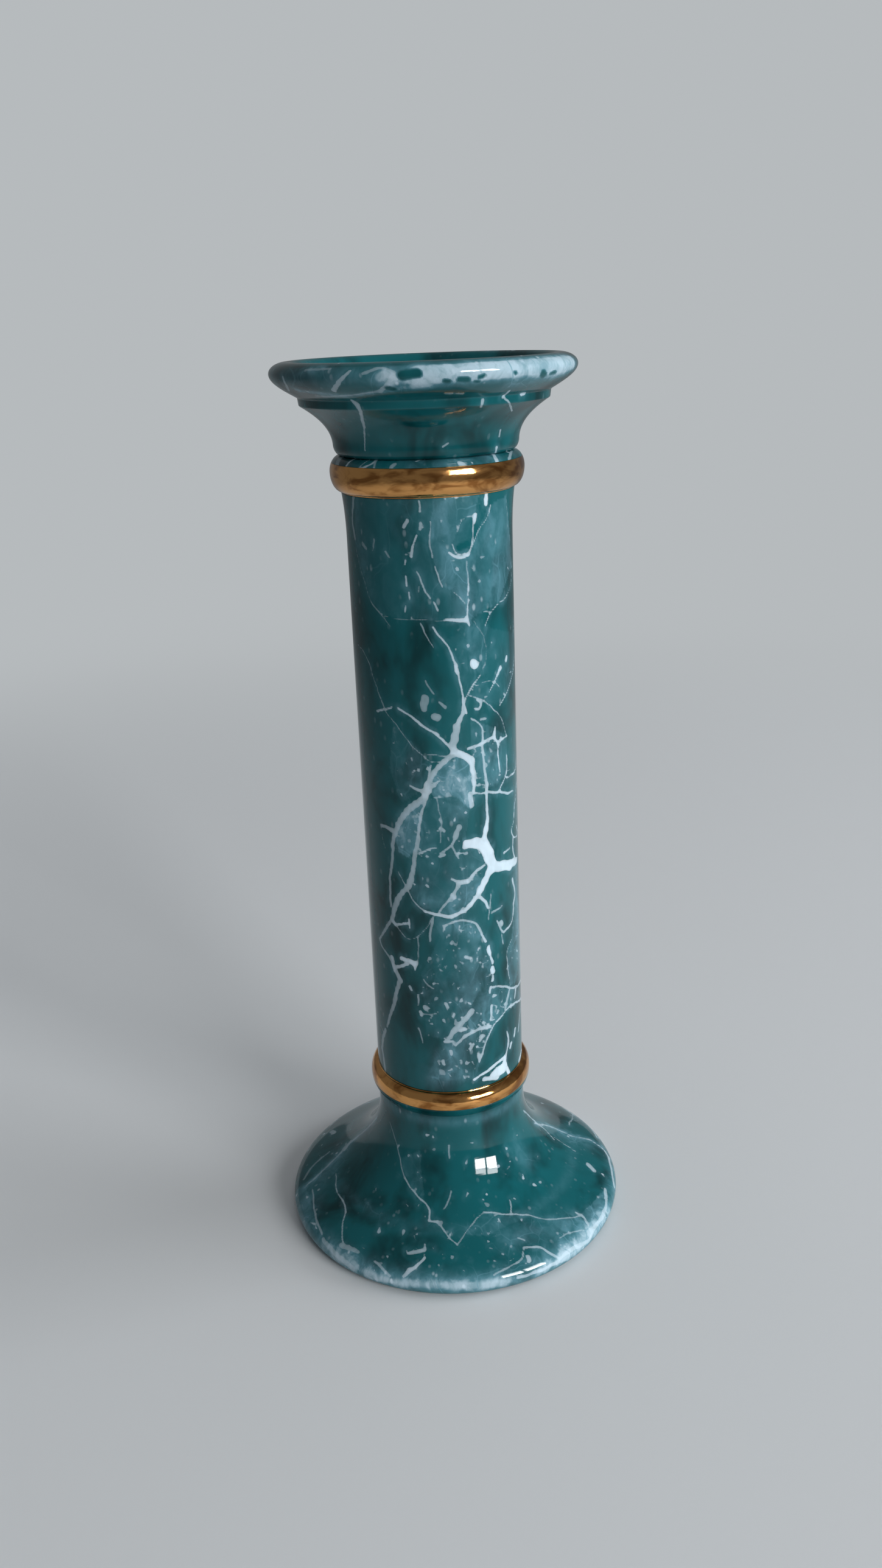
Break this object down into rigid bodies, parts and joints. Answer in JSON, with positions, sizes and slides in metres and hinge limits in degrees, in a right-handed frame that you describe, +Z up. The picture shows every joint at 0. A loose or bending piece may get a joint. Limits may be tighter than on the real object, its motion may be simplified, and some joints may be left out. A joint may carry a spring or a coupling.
{
  "type": "candlestick",
  "caption": "Tall marbled green glass candlestick: flared cup with a taper socket, round shaft, gilt collars and a hollow trumpet foot to stand on a table.",
  "frame": {"origin": "centre of the underside of the foot, on the axis, at table height", "axes": "+Z up along the axis of the turned body; the picture looks along +Y from the -Y side, with +X to the right"},
  "size_m": [0.121, 0.121, 0.3],
  "materials": {
    "marbled_glass": "opaque dark teal green with white veins and milky clouds, high gloss",
    "gilt": "polished bright gold"
  },
  "bodies": {
    "root": {"foot": "marbled_glass", "lower_gilt_collar": "gilt", "shaft": "marbled_glass", "upper_gilt_collar": "gilt", "candle_cup": "marbled_glass"}
  },
  "joints": []
}
